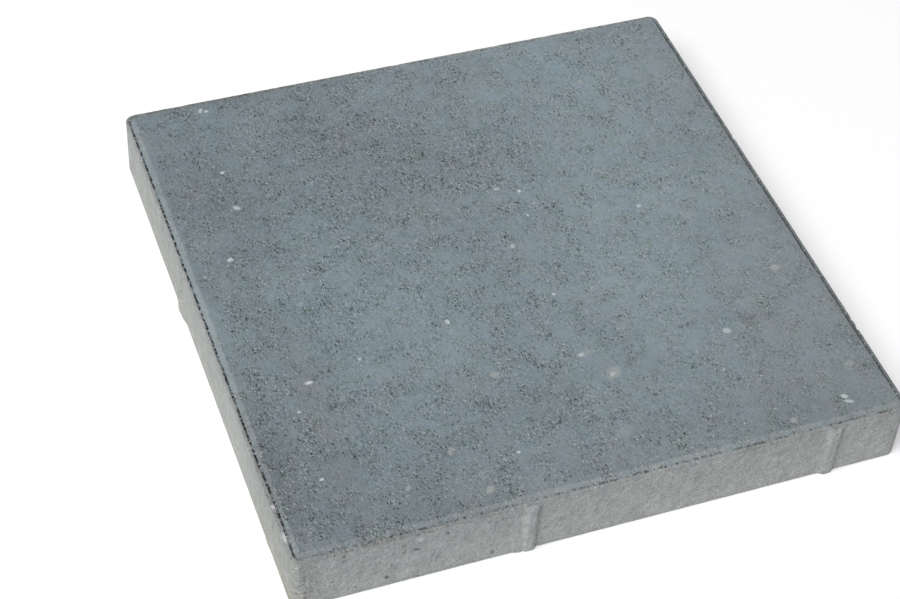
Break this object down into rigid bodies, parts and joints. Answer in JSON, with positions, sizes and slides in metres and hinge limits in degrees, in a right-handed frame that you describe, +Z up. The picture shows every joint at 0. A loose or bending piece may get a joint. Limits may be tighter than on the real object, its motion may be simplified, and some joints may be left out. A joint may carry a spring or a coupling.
{
  "type": "concrete paving slab",
  "caption": "Square pressed-concrete paving slab with rounded corners, a bevel and a groove along the edges of its blue-grey walking face and spacer nibs on its sides.",
  "frame": {"origin": "middle of the bed face, on the level floor that the slab lies on", "axes": "+Z is up, out of the walking face. +X and +Y are square to the sides. The front side faces -Y and the left side faces -X; the picture looks down on the front and left sides."},
  "size_m": [0.402, 0.402, 0.045],
  "materials": {
    "concrete": "matte pressed concrete, blue-grey walking face and paler grey sides"
  },
  "bodies": {
    "root": {"paving_slab": "concrete"}
  },
  "joints": []
}
